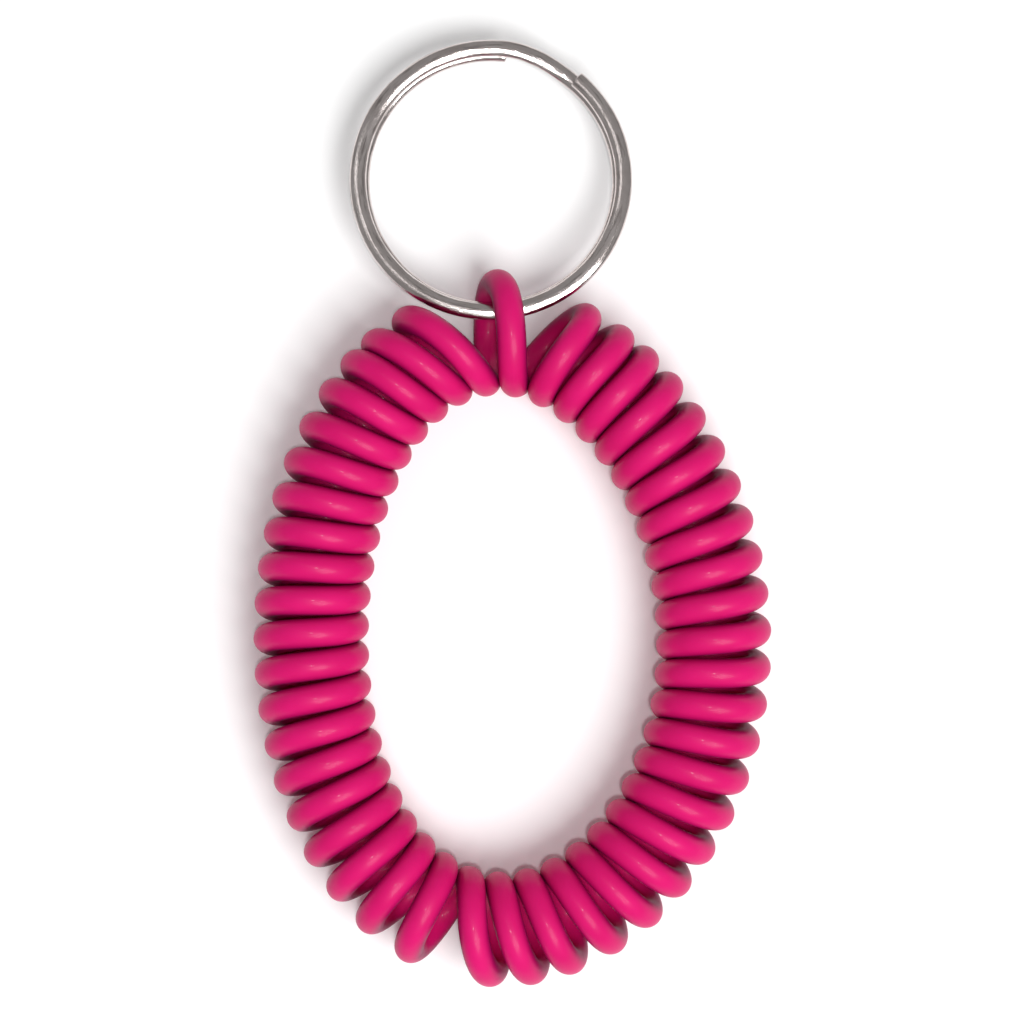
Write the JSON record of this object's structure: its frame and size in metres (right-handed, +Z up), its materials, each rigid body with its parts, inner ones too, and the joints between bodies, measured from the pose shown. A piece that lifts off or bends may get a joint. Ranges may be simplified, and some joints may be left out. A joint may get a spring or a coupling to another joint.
{
  "type": "wrist coil key ring",
  "caption": "Soft plastic cord wound into a coil and joined into an oval wrist loop, with a two-turn steel split ring through its top turn.",
  "frame": {"origin": "middle of the wrist loop, on the surface it lies on", "axes": "+Y from the middle of the loop towards the split ring, +Z up out of the surface, +X to the right"},
  "size_m": [0.0548, 0.1006, 0.0121],
  "materials": {
    "cord": "satin",
    "steel": "polished nickel plate"
  },
  "bodies": {
    "top_turn": {"top_turn": "cord"},
    "upper_left_coil": {"upper_left_coil": "cord"},
    "left_coil": {"left_coil": "cord"},
    "lower_left_coil": {"lower_left_coil": "cord"},
    "lower_right_coil": {"lower_right_coil": "cord"},
    "right_coil": {"right_coil": "cord"},
    "upper_right_coil": {"upper_right_coil": "cord"},
    "split_ring": {"split_ring": "steel"}
  },
  "joints": [
    {"name": "left_shoulder", "type": "hinge", "parent": "top_turn", "child": "upper_left_coil", "pos_m": [-0.00285, 0.02668, 0.00607], "axis": [0, 0, 1], "range_deg": [0, 9.34]},
    {"name": "loop_stretch", "type": "hinge", "parent": "upper_left_coil", "child": "left_coil", "pos_m": [-0.02389, 0.01437, 0.00607], "axis": [0, 0, -1], "range_deg": [0, 10], "stiffness_Nm_per_rad": 0.1},
    {"name": "left_lower_bend", "type": "hinge", "parent": "left_coil", "child": "lower_left_coil", "pos_m": [-0.02469, -0.01181, 0.00607], "axis": [0, 0, -1], "range_deg": [0, 10]},
    {"name": "right_shoulder", "type": "hinge", "parent": "top_turn", "child": "upper_right_coil", "pos_m": [0.00027, 0.0266, 0.00607], "axis": [0, 0, -1], "range_deg": [0, 9.34]},
    {"name": "right_upper_bend", "type": "hinge", "parent": "upper_right_coil", "child": "right_coil", "pos_m": [0.02262, 0.01582, 0.00607], "axis": [0, 0, 1], "range_deg": [0, 8.25]},
    {"name": "right_lower_bend", "type": "hinge", "parent": "right_coil", "child": "lower_right_coil", "pos_m": [0.02352, -0.01521, 0.00607], "axis": [0, 0, 1], "range_deg": [0, 8.25]},
    {"name": "ring_swing", "type": "hinge", "parent": "top_turn", "child": "split_ring", "pos_m": [-0.00068, 0.03244, 0.00607], "axis": [1, 0, 0], "range_deg": [-20, 30]}
  ],
  "couplings": [
    {"joint": "left_shoulder", "follows": "loop_stretch", "ratio": 0.93355},
    {"joint": "left_lower_bend", "follows": "loop_stretch", "ratio": 1},
    {"joint": "right_shoulder", "follows": "loop_stretch", "ratio": 0.93355},
    {"joint": "right_upper_bend", "follows": "loop_stretch", "ratio": 0.82453},
    {"joint": "right_lower_bend", "follows": "loop_stretch", "ratio": 0.82453}
  ]
}
